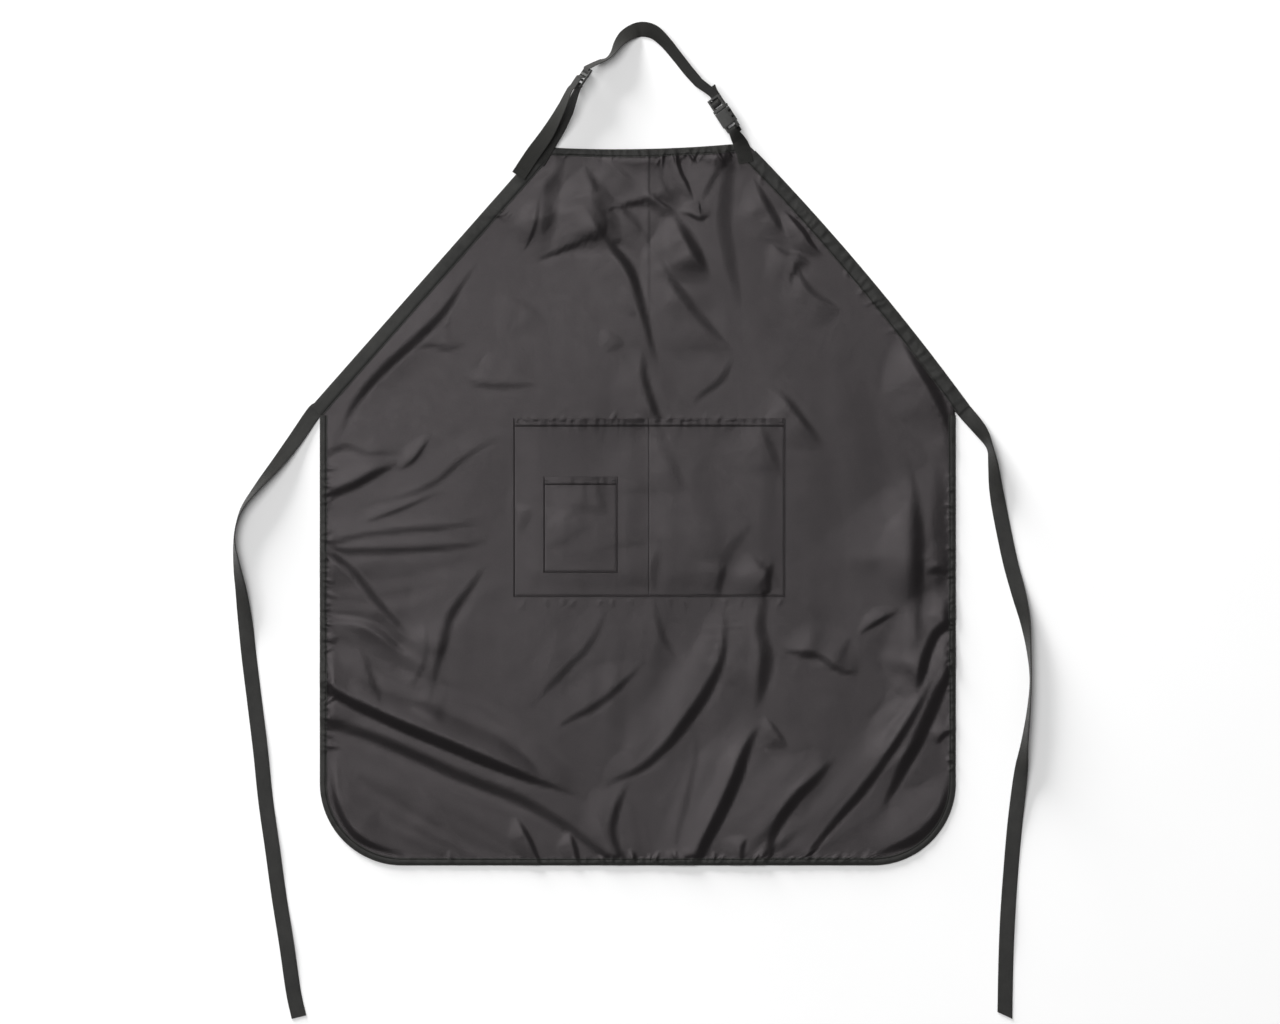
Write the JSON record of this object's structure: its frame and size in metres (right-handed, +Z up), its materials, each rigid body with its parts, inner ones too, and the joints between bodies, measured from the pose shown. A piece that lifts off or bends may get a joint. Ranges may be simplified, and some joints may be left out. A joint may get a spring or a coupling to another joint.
{
  "type": "bib apron",
  "caption": "Thin nylon bib apron lying flat, with divided patch pocket, small pocket, long waist ties and an adjustable buckled neck strap.",
  "frame": {"origin": "on the back face of the body panel, where the pressed centre crease crosses the waist line", "axes": "+Z up out of the front face of the apron as it lies, +Y towards the neck, +X to the right of someone looking down at the front"},
  "size_m": [0.9578, 1.1961, 0.0255],
  "materials": {
    "nylon": "smooth shiny nylon taffeta, charcoal black",
    "tape": "folded nylon tape, slightly olive black",
    "webbing": "ribbed polypropylene webbing, olive black",
    "plastic": "moulded acetal, dark grey, satin",
    "thread": "twisted polyester sewing thread, black"
  },
  "bodies": {
    "apron": {"body_panel": "nylon", "pocket_panel": "nylon", "small_pocket_panel": "nylon", "top_hem_band": "tape", "left_armhole_band": "tape", "right_armhole_band": "tape", "edge_binding": "tape", "neck_strap": "webbing", "left_bib_strap": "webbing", "right_bib_strap": "webbing", "strap_slider": "plastic", "buckle_socket": "plastic", "pocket_seam": "thread", "pocket_hem_seam": "thread", "pocket_divider_seam": "thread", "small_pocket_seam": "thread", "small_pocket_hem_seam": "thread", "left_band_seam": "thread", "right_band_seam": "thread", "binding_seam": "thread", "top_hem_seam": "thread", "left_strap_stitch": "thread", "right_strap_stitch": "thread", "pocket_tack_left": "thread", "pocket_tack_right": "thread", "small_pocket_tack_left": "thread", "small_pocket_tack_right": "thread"},
    "left_tie": {"left_waist_tie": "tape"},
    "right_tie": {"right_waist_tie": "tape"},
    "loose_webbing": {"strap_tail": "webbing", "tail_hem_seam": "thread"},
    "plug": {"buckle_plug": "plastic"},
    "prong_left": {"buckle_prong_left": "plastic"},
    "prong_right": {"buckle_prong_right": "plastic"}
  },
  "joints": [
    {"name": "left_tie_swing", "type": "hinge", "parent": "apron", "child": "left_tie", "pos_m": [-0.404, 0, 0], "axis": [0, 0, -1], "range_deg": [-4, 90]},
    {"name": "right_tie_swing", "type": "hinge", "parent": "apron", "child": "right_tie", "pos_m": [0.38, 0, 0], "axis": [0, 0, 1], "range_deg": [-4, 90]},
    {"name": "webbing_adjust", "type": "slide", "parent": "apron", "child": "loose_webbing", "axis": [-0.5592, -0.829, 0], "range_m": [-0.004, 0.025], "deforming": ["neck_strap"]},
    {"name": "buckle_release", "type": "slide", "parent": "apron", "child": "plug", "axis": [-0.5446, 0.8387, 0], "range_m": [0, 0.022], "deforming": ["neck_strap", "buckle_prong_left", "buckle_prong_right"]},
    {"name": "prong_left_squeeze", "type": "hinge", "parent": "plug", "child": "prong_left", "pos_m": [0.08268, 0.3584, 0.00557], "axis": [-0.6953, -0.4515, 0.5592], "range_deg": [0, 12], "stiffness_Nm_per_rad": 0.25},
    {"name": "prong_right_squeeze", "type": "hinge", "parent": "plug", "child": "prong_right", "pos_m": [0.09131, 0.364, 0.02083], "axis": [0.6953, 0.4515, -0.5592], "range_deg": [0, 12], "stiffness_Nm_per_rad": 0.25}
  ]
}
